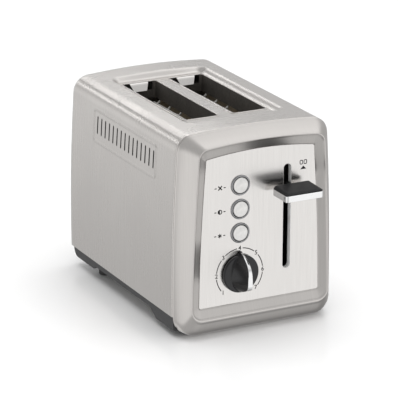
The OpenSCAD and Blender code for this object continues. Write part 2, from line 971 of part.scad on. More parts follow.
// The grip's foot: a leaf with its point towards the mark
module leaf() {
    polygon(concat(
        [for (i = [0 : 10]) let (a = 180 + 18 * i) [grip_half * cos(a), grip_widest + grip_low_h * sin(a)]],
        [[grip_half * 0.72, 10], [1, 19], [-1, 19], [-grip_half * 0.72, 10]]
    ));
}

module crest_slab(half, inset) {
    translate([button_x - half, panel_y, knob_z])
        rotate([90, 0, 90])
            linear_extrude(2 * half)
                offset(delta = -inset)
                    polygon([for (p = crest) [-p[1], p[0]]]);
}

module knob() {
    color("#181818")
        difference() {
            union() {
                translate([button_x, panel_y, knob_z])
                    rotate([90, 0, 0])
                        rotate_extrude()
                            polygon([[0, -knob_back], [knob_d / 2 - 0.4, -knob_back],
                                [knob_d / 2, -knob_back + 0.5], [knob_d / 2 - 0.4, -knob_plate - 0.6],
                                [knob_d / 2 - 1.6, -knob_plate], [0, -knob_plate]]);
                hull() {
                    translate([button_x, panel_y + knob_plate, knob_z])
                        rotate([90, 0, 0])
                            linear_extrude(0.4)
                                leaf();
                    crest_slab(crest_half, 0);
                }
            }
            rod_y(button_x, knob_z, shaft_r + 0.02, -10.05, 1);
            difference() {
                crest_slab(trim_strip_half + 0.05, -1);
                crest_slab(trim_strip_half + 1, trim_strip_t);
                block(-width, width, -trim_low_d, depth, 0, height);
            }
        }
}

module knob_trim() {
    color("silver")
        difference() {
            crest_slab(trim_strip_half, 0);
            crest_slab(trim_strip_half + 1, trim_strip_t - 0.05);
            block(-width, width, -trim_low_d - 0.05, depth, 0, height);
        }
}

// ---- Crumb tray ----

tray_half = 60;
tray_d0 = 62;
tray_d1 = wrap_end - 2;
tray_z = base_floor_z + 0.5;
module crumb_tray() {
    color("silver")
        difference() {
            block(-tray_half, tray_half, tray_d0, tray_d1, tray_z, tray_z + 6);
            block(-tray_half + 0.8, tray_half - 0.8, tray_d0 + 0.8, tray_d1 + 1, tray_z + 0.8, tray_z + 7);
        }
}

module crumb_tray_handle() {
    color("#202020") {
        block(-tray_half, tray_half, tray_d1, depth + 1, tray_z, tray_open_z1 - 0.6);
        block(-28, 28, depth + 1 - eps, depth + tray_handle_reach, tray_z + 6, tray_open_z1 - 0.6);
    }
}

body_wrap();
front_bezel();
control_panel();
panel_backing();
front_frame();
rear_frame();
rear_cover();
base();
bottom_plate();
rubber_feet();
base_screws();
rear_screws();
chassis_screws();
cord_gland();
terminal_block();
mains_leads();
chassis_front_plate();
chassis_rear_plate();
slot_liner_left();
slot_liner_right();
reflector_left();
reflector_right();
heater_board_left();
heater_board_centre();
heater_board_right();
heating_ribbon_left();
heating_ribbon_centre();
heating_ribbon_right();
bread_guide_left_outer();
bread_guide_left_inner();
bread_guide_right_inner();
bread_guide_right_outer();
guide_rod();
carriage();
bread_lifter_left();
bread_lifter_right();
latch_plate();
lever_arm();
lever_paddle();
lever_trim();
lift_spring();
electromagnet();
circuit_board();
button_switches();
button_rings();
button_stop();
button_one_side();
button_frozen();
timer_pot();
knob_shaft();
knob();
knob_trim();
crumb_tray();
crumb_tray_handle();
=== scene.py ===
"""The looks of the pop up toaster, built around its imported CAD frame. Lengths are in metres."""
import math

import bmesh
import bpy
import numpy as np
from mathutils import Matrix, Vector


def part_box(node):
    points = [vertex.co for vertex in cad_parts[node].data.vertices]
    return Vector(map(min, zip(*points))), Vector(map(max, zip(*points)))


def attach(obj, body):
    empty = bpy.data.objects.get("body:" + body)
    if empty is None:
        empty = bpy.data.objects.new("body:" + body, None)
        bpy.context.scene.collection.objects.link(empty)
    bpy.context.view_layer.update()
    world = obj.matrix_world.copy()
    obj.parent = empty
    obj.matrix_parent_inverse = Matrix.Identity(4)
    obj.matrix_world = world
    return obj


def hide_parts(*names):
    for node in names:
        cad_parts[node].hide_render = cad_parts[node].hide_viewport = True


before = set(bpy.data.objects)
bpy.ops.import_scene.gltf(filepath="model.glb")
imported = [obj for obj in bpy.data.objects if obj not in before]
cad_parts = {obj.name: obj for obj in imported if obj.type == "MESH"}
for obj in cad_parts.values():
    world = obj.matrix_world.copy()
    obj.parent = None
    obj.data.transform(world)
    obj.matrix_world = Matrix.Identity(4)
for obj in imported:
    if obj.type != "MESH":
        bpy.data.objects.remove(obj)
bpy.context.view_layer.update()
scene = bpy.context.scene

MM = 0.001
HOUSING = "housing"


# ---- Places and sizes from the frame ----

def span(node, axis):
    """Lowest and highest value of a CAD node along one axis (0, 1 or 2)."""
    low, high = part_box(node)
    return low[axis], high[axis]


def half_span(node, axis):
    """Half a CAD node's length along one axis."""
    low, high = span(node, axis)
    return (high - low) / 2


def middle(node):
    """Centre of a CAD node's box."""
    low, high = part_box(node)
    return (low + high) / 2


PANEL_Y = span("control_panel", 1)[0]
HEIGHT = span("body_wrap", 2)[1]
WRAP_LOW = span("body_wrap", 2)[0]
WRAP_Y0, WRAP_Y1 = span("body_wrap", 1)
SEAM_Y = span("front_bezel", 1)[1]
RIDGE_Y = span("front_bezel", 1)[0]
KNOB = Vector((middle("knob_shaft").x, PANEL_Y, middle("knob_shaft").z))
KNOB_R = half_span("knob", 0)
LEVER_X = middle("lever_arm").x
BUTTONS = {
    "button_stop": "stop_button",
    "button_one_side": "one_side_button",
    "button_frozen": "frozen_button",
}
PAN_DEPTH = 6 * MM
PAN_Z = HEIGHT - PAN_DEPTH
# The edges of the bread slots lie this far outside their liners
LINER_GAP = 0.05 * MM
SLOT_X = middle("slot_liner_right").x
SLOT_Y = middle("slot_liner_right").y
SLOT_HALF_W = half_span("slot_liner_right", 0) + LINER_GAP
SLOT_HALF_L = half_span("slot_liner_right", 1) + LINER_GAP
SLOT_CORNER = 3.5 * MM


def behind(d_mm):
    """Y of a place d_mm millimetres behind the face of the control panel."""
    return PANEL_Y + d_mm * MM


# ---- Mesh helpers ----
# Points of one piece that are closer than this become one
MERGE_DISTANCE = 1e-7
# Radius of a turned piece where its profile meets the axis
AXIS_R = 0.0001 * MM
# Points round the buttons and round the knob's disc
TURN_STEPS = 72
DISC_STEPS = 96


def finish_mesh(obj, angle=35.0):
    """Smooth shading with crisp edges where two faces meet at more than the angle."""
    for polygon in obj.data.polygons:
        polygon.use_smooth = True
    obj.data.set_sharp_from_angle(angle=math.radians(angle))


def make_piece(name, verts, faces, body, material, replaces=(), origin=(0, 0, 0), angle=35.0):
    """A mesh object that rides on a CAD body. Its vertices are given in the frame's coordinates."""
    origin = Vector(origin)
    mesh = bpy.data.meshes.new(name)
    mesh.from_pydata([tuple(Vector(v) - origin) for v in verts], [], [tuple(f) for f in faces])
    mesh.validate()
    bm = bmesh.new()
    bm.from_mesh(mesh)
    bmesh.ops.remove_doubles(bm, verts=bm.verts, dist=MERGE_DISTANCE)
    bmesh.ops.recalc_face_normals(bm, faces=bm.faces)
    bm.to_mesh(mesh)
    bm.free()
    obj = bpy.data.objects.new(name, mesh)
    scene.collection.objects.link(obj)
    obj.location = origin
    obj.data.materials.append(material)
    finish_mesh(obj, angle)
    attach(obj, body)
    if replaces:
        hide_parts(*replaces)
    return obj


def loft_faces(rows, columns, closed_rows=False, closed_columns=True):
    """Quads between successive rows of points."""
    faces = []
    for i in range(rows if closed_rows else rows - 1):
        for j in range(columns if closed_columns else columns - 1):
            a, b = i * columns + j, i * columns + (j + 1) % columns
            c, e = ((i + 1) % rows) * columns + (j + 1) % columns, ((i + 1) % rows) * columns + j
            faces.append((a, b, c, e))
    return faces


def capped_faces(rows, columns):
    """Quads between successive rows of points, and a face over each end."""
    last = (rows - 1) * columns
    ends = [tuple(range(columns)), tuple(last + k for k in reversed(range(columns)))]
    return loft_faces(rows, columns) + ends


def turned(profile, centre, steps):
    """A profile of (radius, y offset) points turned about the Y axis through the centre."""
    return [(centre[0] + radius * math.cos(a), centre[1] + y, centre[2] + radius * math.sin(a))
            for radius, y in profile for a in np.linspace(0, 2 * math.pi, steps, endpoint=False)]


def arc(centre, radius, start, stop, steps):
    """Points of a circular arc in a plane, angles in degrees."""
    angles = np.radians(np.linspace(start, stop, steps + 1))
    return [(centre[0] + radius * math.cos(a), centre[1] + radius * math.sin(a)) for a in angles]


def rounded_rect(half_w, half_h, radius, steps=8):
    """A rounded rectangle about the origin, counter-clockwise."""
    corners = [(half_w, half_h, 0), (-half_w, half_h, 90), (-half_w, -half_h, 180), (half_w, -half_h, 270)]
    points = []
    for x, y, start in corners:
        centre = (math.copysign(half_w - radius, x), math.copysign(half_h - radius, y))
        points += arc(centre, radius, start, start + 90, steps)
    return points


def prism(outline, to_3d, low, high):
    """Vertices and faces of an outline swept between two levels; to_3d(u, v, level) gives a point."""
    n = len(outline)
    verts = [to_3d(u, v, low) for u, v in outline] + [to_3d(u, v, high) for u, v in outline]
    faces = [tuple(reversed(range(n))), tuple(range(n, 2 * n))]
    faces += [(k, (k + 1) % n, n + (k + 1) % n, n + k) for k in range(n)]
    return verts, faces


def joined(parts):
    """Several (vertices, faces) as one."""
    verts, faces = [], []
    for part_verts, part_faces in parts:
        shift = len(verts)
        verts += list(part_verts)
        faces += [tuple(k + shift for k in f) for f in part_faces]
    return verts, faces


def closed_tube(points, radius, sides):
    """Vertices and faces of a round wire along a closed loop of points."""
    path = [Vector(p) for p in points]
    n = len(path)
    verts = []
    side = None
    for k, p in enumerate(path):
        along = (path[(k + 1) % n] - path[k - 1]).normalized()
        if side is None:
            side = along.orthogonal().normalized()
        side = (side - along * side.dot(along)).normalized()
        other = along.cross(side)
        for s in range(sides):
            turn = 2 * math.pi * s / sides
            verts.append(p + radius * (side * math.cos(turn) + other * math.sin(turn)))
    return verts, loft_faces(n, sides, closed_rows=True)


def smooth_path(points, per_leg):
    """A Catmull-Rom curve through the points."""
    p = [Vector(q) for q in points]
    p = [2 * p[0] - p[1]] + p + [2 * p[-1] - p[-2]]
    made = []
    for k in range(1, len(p) - 2):
        for i in range(per_leg):
            t = i / per_leg
            a, b, c, e = p[k - 1], p[k], p[k + 1], p[k + 2]
            made.append(0.5 * ((2 * b) + (c - a) * t + (2 * a - 5 * b + 4 * c - e) * t * t
                               + (3 * b - a - 3 * c + e) * t ** 3))
    return made + [p[-2]]


def cut(obj, cutters):
    """Cuts solids, given as (vertices, faces), out of an object and keeps the result as its mesh."""
    verts, faces = joined(cutters)
    mesh = bpy.data.meshes.new("cutter")
    mesh.from_pydata([tuple(v) for v in verts], [], faces)
    cutter = bpy.data.objects.new("cutter", mesh)
    scene.collection.objects.link(cutter)
    bm = bmesh.new()
    bm.from_mesh(mesh)
    bmesh.ops.recalc_face_normals(bm, faces=bm.faces)
    bm.to_mesh(mesh)
    bm.free()
    modifier = obj.modifiers.new("cut", "BOOLEAN")
    modifier.operation = "DIFFERENCE"
    modifier.solver = "EXACT"
    modifier.object = cutter
    apply_modifiers(obj)
    bpy.data.objects.remove(cutter)


def apply_modifiers(obj):
    """Replaces an object's mesh by its mesh with all modifiers."""
    bpy.context.view_layer.update()
    graph = bpy.context.evaluated_depsgraph_get()
    made = bpy.data.meshes.new_from_object(obj.evaluated_get(graph))
    obj.modifiers.clear()
    obj.data = made


def bevel(obj, width):
    """Rounds an object's sharp edges."""
    modifier = obj.modifiers.new("round", "BEVEL")
    modifier.width = width
    modifier.segments = 2
    modifier.limit_method = "ANGLE"
    modifier.angle_limit = math.radians(35)


# ---- Materials ----
# Height of the bump of brushed and turned metal, of moulded plastic, of plain metal and of mica
BRUSH_DEPTH = 0.00002
GRAIN_DEPTH = 0.00004
METAL_DEPTH = 0.00003
FLAKE_DEPTH = 0.0001


def new_material(name, color, roughness, metallic=0.0, specular=0.5):
    """A Principled material, with its node tree ready for detail."""
    material = bpy.data.materials.new(name)
    material.use_nodes = True
    shader = material.node_tree.nodes["Principled BSDF"]
    shader.inputs["Base Color"].default_value = (*color, 1)
    shader.inputs["Roughness"].default_value = roughness
    shader.inputs["Metallic"].default_value = metallic
    shader.inputs["Specular IOR Level"].default_value = specular
    return material


def noise(material, scale, stretch=(1, 1, 1), *, detail, roughness=0.55):
    """A noise texture in object coordinates; scale is cycles per metre."""
    tree = material.node_tree
    place = tree.nodes.new("ShaderNodeTexCoord")
    mapping = tree.nodes.new("ShaderNodeMapping")
    mapping.inputs["Scale"].default_value = stretch
    texture = tree.nodes.new("ShaderNodeTexNoise")
    texture.inputs["Scale"].default_value = scale
    texture.inputs["Detail"].default_value = detail
    texture.inputs["Roughness"].default_value = roughness
    tree.links.new(place.outputs["Object"], mapping.inputs["Vector"])
    tree.links.new(mapping.outputs["Vector"], texture.inputs["Vector"])
    return texture.outputs["Fac"]


def remap(material, source, low, high, from_low=0.3, from_high=0.7):
    """Maps a texture's value to a range."""
    node = material.node_tree.nodes.new("ShaderNodeMapRange")
    node.inputs["From Min"].default_value = from_low
    node.inputs["From Max"].default_value = from_high
    node.inputs["To Min"].default_value = low
    node.inputs["To Max"].default_value = high
    material.node_tree.links.new(source, node.inputs["Value"])
    return node.outputs["Result"]


def ramp(material, source, stops):
    """A colour ramp; stops are (place, (r, g, b))."""
    node = material.node_tree.nodes.new("ShaderNodeValToRGB")
    elements = node.color_ramp.elements
    while len(elements) < len(stops):
        elements.new(0.5)
    for element, (place, color) in zip(elements, stops):
        element.position = place
        element.color = (*color, 1)
    material.node_tree.links.new(source, node.inputs["Fac"])
    return node.outputs["Color"]


def link(material, source, socket):
    """Drives a socket of the Principled shader."""
    shader = material.node_tree.nodes["Principled BSDF"]
    material.node_tree.links.new(source, shader.inputs[socket])


def bump(material, source, strength, distance):
    """Adds a bump; a second call lays its bump over the first."""
    tree = material.node_tree
    shader = tree.nodes["Principled BSDF"]
    node = tree.nodes.new("ShaderNodeBump")
    node.inputs["Strength"].default_value = strength
    node.inputs["Distance"].default_value = distance
    tree.links.new(source, node.inputs["Height"])
    if shader.inputs["Normal"].is_linked:
        tree.links.new(shader.inputs["Normal"].links[0].from_socket, node.inputs["Normal"])
    tree.links.new(node.outputs["Normal"], shader.inputs["Normal"])


def brushed(name, light, dark, roughness, across, anisotropic=0.6, strength=0.07):
    """Brushed steel whose strokes run square to the axis named by across: "X", "Y" or "Z"."""
    material = new_material(name, light, roughness, metallic=1.0)
    tangent = {"X": (1, 0, 0), "Y": (0, 1, 0), "Z": (0, 0, 1)}[across]
    fast, slow = 1.0, 0.012
    stretch = tuple(fast if t else slow for t in tangent)
    strokes = noise(material, 7800, stretch, detail=2)
    bands = noise(material, 1700, stretch, detail=2)
    clouds = noise(material, 14, detail=3)
    link(material, ramp(material, bands, [(0.3, dark), (0.7, light)]), "Base Color")
    tree = material.node_tree
    mixed = tree.nodes.new("ShaderNodeMath")
    mixed.operation = "ADD"
    tree.links.new(remap(material, bands, -0.008, 0.008), mixed.inputs[0])
    tree.links.new(remap(material, clouds, roughness - 0.02, roughness + 0.03), mixed.inputs[1])
    link(material, mixed.outputs["Value"], "Roughness")
    bump(material, strokes, strength, BRUSH_DEPTH)
    bump(material, bands, strength * 0.4, BRUSH_DEPTH)
    shader = tree.nodes["Principled BSDF"]
    shader.inputs["Anisotropic"].default_value = anisotropic
    vector = tree.nodes.new("ShaderNodeCombineXYZ")
    for socket, value in zip(vector.inputs, tangent):
        socket.default_value = value
    tree.links.new(vector.outputs["Vector"], shader.inputs["Tangent"])
    return material


def plastic(name, color, roughness, grain=2600, strength=0.15, specular=0.5):
    """Moulded plastic with a fine spark-eroded grain."""
    material = new_material(name, color, roughness, specular=specular)
    fine = noise(material, grain, detail=3)
    broad = noise(material, 60, detail=3)
    lighter = tuple(min(1, c * 1.35 + 0.002) for c in color)
    link(material, ramp(material, broad, [(0.3, color), (0.7, lighter)]), "Base Color")
    link(material, remap(material, broad, roughness - 0.05, roughness + 0.06), "Roughness")
    bump(material, fine, strength, GRAIN_DEPTH)
    return material


def metal(name, color, roughness, grain=900, strength=0.1, shade=0.8, stretch=(1, 1, 1), metallic=1.0):
    """Plain or plated metal with slight clouding."""
    material = new_material(name, color, roughness, metallic=metallic)
    fine = noise(material, grain, stretch, detail=4)
    clouds = noise(material, 45, detail=4)
    darker = tuple(c * shade for c in color)
    link(material, ramp(material, clouds, [(0.3, darker), (0.65, color)]), "Base Color")
    link(material, remap(material, fine, roughness * 0.85, roughness * 1.25), "Roughness")
    bump(material, fine, strength, METAL_DEPTH)
    return material


def spun(name, color, roughness):
    """Metal turned on a lathe: fine rings about the object's own Y axis."""
    material = new_material(name, color, roughness, metallic=1.0)
    tree = material.node_tree
    place = tree.nodes.new("ShaderNodeTexCoord")
    rings = tree.nodes.new("ShaderNodeTexWave")
    rings.wave_type = "RINGS"
    rings.rings_direction = "Y"
    rings.inputs["Scale"].default_value = 900
    rings.inputs["Distortion"].default_value = 0.6
    rings.inputs["Detail"].default_value = 2
    tree.links.new(place.outputs["Object"], rings.inputs["Vector"])
    clouds = noise(material, 300, detail=3)
    darker = tuple(c * 0.86 for c in color)
    link(material, ramp(material, clouds, [(0.3, darker), (0.7, color)]), "Base Color")
    fine = rings.outputs["Fac"]
    link(material, remap(material, fine, roughness - 0.04, roughness + 0.06, 0, 1), "Roughness")
    bump(material, fine, 0.2, BRUSH_DEPTH)
    tangent = tree.nodes.new("ShaderNodeTangent")
    tangent.direction_type = "RADIAL"
    tangent.axis = "Y"
    shader = tree.nodes["Principled BSDF"]
    shader.inputs["Anisotropic"].default_value = 0.85
    tree.links.new(tangent.outputs["Tangent"], shader.inputs["Tangent"])
    return material


def speckled(name, base, light, dark, roughness):
    """Pressed mica sheet: flakes, darker specks and browning."""
    material = new_material(name, base, roughness)
    flakes = noise(material, 700, detail=6, roughness=0.7)
    toast = noise(material, 25, detail=3)
    tree = material.node_tree
    mix = tree.nodes.new("ShaderNodeMix")
    mix.data_type = "RGBA"
    tree.links.new(remap(material, toast, 0.0, 0.7), mix.inputs["Factor"])
    tree.links.new(ramp(material, flakes, [(0.3, dark), (0.45, base), (0.7, light)]), mix.inputs["A"])
    mix.inputs["B"].default_value = (*tuple(c * 0.62 for c in base), 1)
    link(material, mix.outputs["Result"], "Base Color")
    link(material, remap(material, flakes, roughness - 0.1, roughness + 0.1), "Roughness")
    bump(material, flakes, 0.3, FLAKE_DEPTH)
    return material


SHELL_LIGHT = (0.645, 0.62, 0.598)
SHELL_DARK = (0.605, 0.582, 0.561)
WRAP_STEEL = brushed("wrap_steel", SHELL_LIGHT, SHELL_DARK, 0.27, "Y", anisotropic=0.4, strength=0.02)
BEZEL_STEEL = brushed("bezel_steel", SHELL_LIGHT, SHELL_DARK, 0.31, "X", anisotropic=0.45)
PANEL_STEEL = brushed("panel_steel", (0.77, 0.75, 0.73), (0.72, 0.70, 0.68), 0.24, "X")
REAR_STEEL = brushed("rear_steel", (0.64, 0.63, 0.61), (0.54, 0.53, 0.515), 0.32, "X")
BLACK = plastic("black_plastic", (0.018, 0.018, 0.019), 0.42)
GLOSS_BLACK = plastic("gloss_black_plastic", (0.004, 0.004, 0.005), 0.15, strength=0.03)
PADDLE_TOP = plastic("paddle_top_plastic", (0.012, 0.012, 0.013), 0.42, strength=0.08, specular=0.22)
RUBBER = plastic("rubber", (0.025, 0.025, 0.025), 0.75, grain=1400, strength=0.3)
SCREW = metal("screw_steel", (0.55, 0.55, 0.54), 0.32)
IVORY = plastic("ivory_plastic", (0.78, 0.74, 0.62), 0.45)
SLEEVE = plastic("lead_sleeve", (0.75, 0.75, 0.72), 0.7, grain=1500, strength=0.4)
CHASSIS = metal("chassis_steel", (0.20, 0.19, 0.178), 0.45, grain=500, shade=0.75)
LINER = metal("liner_steel", (0.20, 0.187, 0.172), 0.68, grain=500, shade=0.8)
MICA = speckled("mica", (0.50, 0.42, 0.31), (0.66, 0.58, 0.46), (0.30, 0.22, 0.14), 0.6)
RIBBON = metal("heating_alloy", (0.20, 0.18, 0.16), 0.45, shade=0.6)
WIRE = metal("wire_steel", (0.82, 0.80, 0.77), 0.38, shade=0.85, metallic=0.4)
# The lever arm is steel; its near-black colour is painted shade, the shadow the arm lies in within the lever
# slot
ARM_PAINTED_SHADE = metal("dark_steel", (0.05, 0.05, 0.052), 0.4, shade=0.7)
CHROME = metal("chrome", (0.86, 0.86, 0.86), 0.09, grain=300, strength=0.03, shade=0.95)
RING_CHROME = metal("dark_chrome", (0.40, 0.40, 0.41), 0.26, grain=300, strength=0.03, shade=0.9)
COPPER = metal("magnet_copper", (0.62, 0.32, 0.14), 0.35, stretch=(0.05, 0.05, 1))
BOARD = plastic("circuit_board", (0.02, 0.12, 0.05), 0.35, grain=800, strength=0.2)
SWITCH = plastic("switch_plastic", (0.05, 0.05, 0.055), 0.45)
BUTTON = spun("button_silver", (0.86, 0.85, 0.83), 0.32)
INK = plastic("printed_ink", (0.01, 0.01, 0.011), 0.7, grain=3000, strength=0.1, specular=0.2)
FOLD = plastic("slot_fold_paint", (0.78, 0.77, 0.75), 0.4, grain=1200, strength=0.08)

# The CAD nodes that stay, by finish
CAD_FINISHES = (
    (BLACK, ("panel_backing", "front_frame", "base", "cord_gland", "crumb_tray_handle")),
    (RUBBER, ("rubber_feet",)),
    (SCREW, ("base_screws", "rear_screws", "chassis_screws")),
    (REAR_STEEL, ("rear_cover", "rear_frame")),
    (IVORY, ("terminal_block",)),
    (SLEEVE, ("mains_leads",)),
    (CHASSIS, ("bottom_plate", "chassis_front_plate", "chassis_rear_plate", "reflector_left",
               "reflector_right", "carriage", "crumb_tray", "latch_plate")),
    (LINER, ("slot_liner_left", "slot_liner_right")),
    (MICA, ("heater_board_left", "heater_board_centre", "heater_board_right")),
    (RIBBON, ("heating_ribbon_left", "heating_ribbon_centre", "heating_ribbon_right")),
    (WIRE, ("guide_rod", "bread_lifter_left", "bread_lifter_right", "lift_spring", "knob_shaft",
            "bread_guide_left_outer", "bread_guide_left_inner", "bread_guide_right_inner",
            "bread_guide_right_outer")),
    # The lever arm's near-black colour is painted shade
    (ARM_PAINTED_SHADE, ("lever_arm",)),
    (COPPER, ("electromagnet",)),
    (BOARD, ("circuit_board",)),
    (SWITCH, ("button_switches", "timer_pot")),
    (PANEL_STEEL, ("control_panel",)),
)
# Radius of the rounded edges, in millimetres
ROUNDED_NODES = {
    "base": 0.8, "rubber_feet": 0.8, "crumb_tray_handle": 0.8, "cord_gland": 0.5, "base_screws": 0.4,
    "rear_screws": 0.5, "chassis_screws": 0.4, "control_panel": 0.25, "lever_arm": 0.3,
    "carriage": 0.3, "terminal_block": 0.4, "electromagnet": 0.3, "timer_pot": 0.4, "button_switches": 0.3,
}
# Pressed sheets whose faces are flat and full of holes
FLAT_NODES = ("rear_cover", "rear_frame")
WELD_DISTANCE = 1e-5


def finish_cad_node(name, material):
    """Gives a CAD node its material, its shading and its rounded edges."""
    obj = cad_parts[name]
    obj.data.materials.clear()
    obj.data.materials.append(material)
    for polygon in obj.data.polygons:
        polygon.use_smooth = name not in FLAT_NODES
    if name in FLAT_NODES:
        return
    weld = obj.modifiers.new("weld", "WELD")
    weld.merge_threshold = WELD_DISTANCE
    if name in ROUNDED_NODES:
        bevel(obj, ROUNDED_NODES[name] * MM)
    even = obj.modifiers.new("even", "WEIGHTED_NORMAL")
    even.keep_sharp = True


# ---- Housing outlines, in millimetres ----
# Each outline holds eight lengths: half widths at its top and bottom corners, the heights of its crown, arch
# and bottom edge, the radii of its top and bottom corners, and the bulge of its sides
TOP_HALF, LOW_HALF, CROWN, ARCH, BOTTOM, TOP_R, LOW_R, BULGE = range(8)
HEIGHT_MM = HEIGHT / MM
PANEL_EDGE = np.array([56, 62.6, HEIGHT_MM - 19, 4, 30, 2, 2, 1.2])
RIDGE = np.array([65.2, 71.9, HEIGHT_MM - 8.8, 2.9, 19.2, 10, 12, 0.8])
BACK_EDGE = np.array([78, 82, HEIGHT_MM, 2.6, 2, 16, 18, 1.7])
# Points along the bottom, round a corner, up a side and along the top of half an outline
BOTTOM_STEPS, CORNER_STEPS, SIDE_STEPS, TOP_STEPS = 8, 14, 18, 16
# Radius of the rolled edges at the seam
ROLL = 1.3


def side_range(o):
    """Lowest and highest place of an outline's side, between its corners."""
    return o[BOTTOM] + o[LOW_R], o[CROWN] - o[ARCH] - o[TOP_R]


def arch_half(o):
    """Half width of an outline's arched top, between its corners."""
    return o[TOP_HALF] - o[TOP_R]


def side_x(o, z):
    """Half width of an outline at height z on its side."""
    low, high = side_range(o)
    t = (z - low) / (high - low)
    return o[LOW_HALF] + (o[TOP_HALF] - o[LOW_HALF]) * t + 4 * o[BULGE] * t * (1 - t)


def top_z(o, x):
    """Height of an outline's arched top at a distance x from its middle."""
    return o[CROWN] - o[ARCH] * (x / arch_half(o)) ** 2


def outline(o, inset=0.0):
    """A closed outline as (x, z) points in millimetres, from the bottom centre round by +X."""
    low, high = side_range(o)
    foot_x, arch_x = o[LOW_HALF] - o[LOW_R], arch_half(o)
    points = [(foot_x * k / BOTTOM_STEPS, o[BOTTOM] + inset) for k in range(BOTTOM_STEPS)]
    points += arc((foot_x, low), o[LOW_R] - inset, -90, 0, CORNER_STEPS)
    heights = [low + (high - low) * k / SIDE_STEPS for k in range(1, SIDE_STEPS)]
    points += [(side_x(o, z) - inset, z) for z in heights]
    points += arc((arch_x, high), o[TOP_R] - inset, 0, 90, CORNER_STEPS)
    across = [arch_x * (1 - k / TOP_STEPS) for k in range(1, TOP_STEPS)]
    points += [(x, top_z(o, x) - inset) for x in across]
    return points + [(0.0, o[CROWN] - inset)] + [(-x, z) for x, z in reversed(points[1:])]


def ring_points(o, inset, y):
    """An outline's points in metres, at one place along Y."""
    return [(x * MM, y, z * MM) for x, z in outline(o, inset)]


def flare(s):
    """The outline at share s of the way from the ridge to the seam; the bottom edge eases out sooner."""
    f = 0.5 * s + 0.5 * math.sin(math.pi / 2 * s)
    o = RIDGE + (BACK_EDGE - RIDGE) * f
    sooner = math.sin(math.pi / 2 * min(1, 1.5 * s))
    o[BOTTOM] = RIDGE[BOTTOM] + (BACK_EDGE[BOTTOM] - RIDGE[BOTTOM]) * sooner
    return o, RIDGE_Y + (SEAM_Y - RIDGE_Y) * s


def front_bezel():
    """One pressed sheet: recess wall, rounded crest, flare and a rolled rear edge."""
    wall = 1.0
    crest_start, crest_end = 0.86, 0.07
    panel_back = behind(1.2)
    rings = [(PANEL_EDGE, 0, panel_back), (PANEL_EDGE, 0, behind(0.25)), (PANEL_EDGE, -0.25, PANEL_Y)]
    for t in np.linspace(0.06, crest_start, 8):
        rings.append((PANEL_EDGE + (RIDGE - PANEL_EDGE) * t, 0, PANEL_Y + (RIDGE_Y - PANEL_Y) * t * 0.98))
    inner, inner_y = rings[-1][0], rings[-1][2]
    outer, outer_y = flare(crest_end)
    peak_y = 2 * RIDGE_Y - (inner_y + outer_y) / 2
    for t in np.linspace(0.12, 0.88, 8):
        weights = (1 - t) ** 2, 2 * t * (1 - t), t ** 2
        o = weights[0] * inner + weights[1] * RIDGE + weights[2] * outer
        rings.append((o, 0, max(RIDGE_Y, weights[0] * inner_y + weights[1] * peak_y + weights[2] * outer_y)))
    for s in np.linspace(crest_end, 1 - ROLL * MM / (SEAM_Y - RIDGE_Y), 22):
        o, y = flare(s)
        rings.append((o, 0, y))
    for a in np.radians(np.linspace(18, 90, 5)):
        rings.append((BACK_EDGE, ROLL * (1 - math.cos(a)), SEAM_Y - ROLL * MM * (1 - math.sin(a))))
    for s in (0.97, 0.85, 0.6, 0.35, 0.1):
        o, y = flare(s)
        rings.append((o, wall + (0.6 if s > 0.9 else 0), y + wall * MM * (1 - s)))
    rings.append((RIDGE, 0.5, RIDGE_Y + wall * MM))
    rings.append((PANEL_EDGE + (RIDGE - PANEL_EDGE) * 0.3, 0, panel_back))
    verts = [p for o, inset, y in rings for p in ring_points(o, inset, y)]
    faces = loft_faces(len(rings), len(outline(BACK_EDGE)), closed_rows=True)
    make_piece("bezel", verts, faces, HOUSING, BEZEL_STEEL, ["front_bezel"], angle=50)


# ---- Body wrap ----
VENT_COUNT = 15
VENT_PITCH = 8.6 * MM
VENT_W = 2.2 * MM
VENT_Y0 = behind(60.5)
VENT_Z = (151 * MM, 168.5 * MM)
BEAD_Y = (behind(55.5), behind(189))
BEAD_Z = (143 * MM, 174 * MM)
BEAD_CORNER = 3.5 * MM
BEAD_HALF = 1.3 * MM
BEAD_H = 0.6 * MM
PAN_HALF_X = 52 * MM
PAN_Y = (behind(45), behind(214))
PAN_CORNER = 11 * MM
PAN_SLOPE = 6.5 * MM
SHEET = 0.7 * MM
# Length of the pan's front end that needs closer cross-sections
PAN_END = 22 * MM
# How far the cutters of the bread slots reach above and below the pan, and where those of the vents begin
# and end on either side
SLOT_CUT = 4 * MM
VENT_CUT_X = (70 * MM, 90 * MM)
RIM_RADIUS = 0.85 * MM


def rounded_box_distance(u, v, middle_uv, half_uv, radius):
    """Signed distance to a rounded rectangle, negative inside."""
    qu = abs(u - middle_uv[0]) - half_uv[0] + radius
    qv = abs(v - middle_uv[1]) - half_uv[1] + radius
    return math.hypot(max(qu, 0), max(qv, 0)) + min(max(qu, qv), 0) - radius


def smoothstep(t):
    """A soft step from 0 to 1."""
    t = min(1.0, max(0.0, t))
    return t * t * (3 - 2 * t)


def bead_height(y, z):
    """How far the side stands out at a place on the bead round the vents."""
    centre = (sum(BEAD_Y) / 2, sum(BEAD_Z) / 2)
    half = ((BEAD_Y[1] - BEAD_Y[0]) / 2, (BEAD_Z[1] - BEAD_Z[0]) / 2)
    t = abs(rounded_box_distance(y, z, centre, half, BEAD_CORNER)) / BEAD_HALF
    return BEAD_H * (0.5 + 0.5 * math.cos(math.pi * min(1, t)))


def pan_share(x, y):
    """How far the top is sunk at a place, from 0 outside the pan to 1 on its floor."""
    centre = (0, sum(PAN_Y) / 2)
    half = (PAN_HALF_X, (PAN_Y[1] - PAN_Y[0]) / 2)
    return smoothstep(-rounded_box_distance(x, y, centre, half, PAN_CORNER) / PAN_SLOPE)


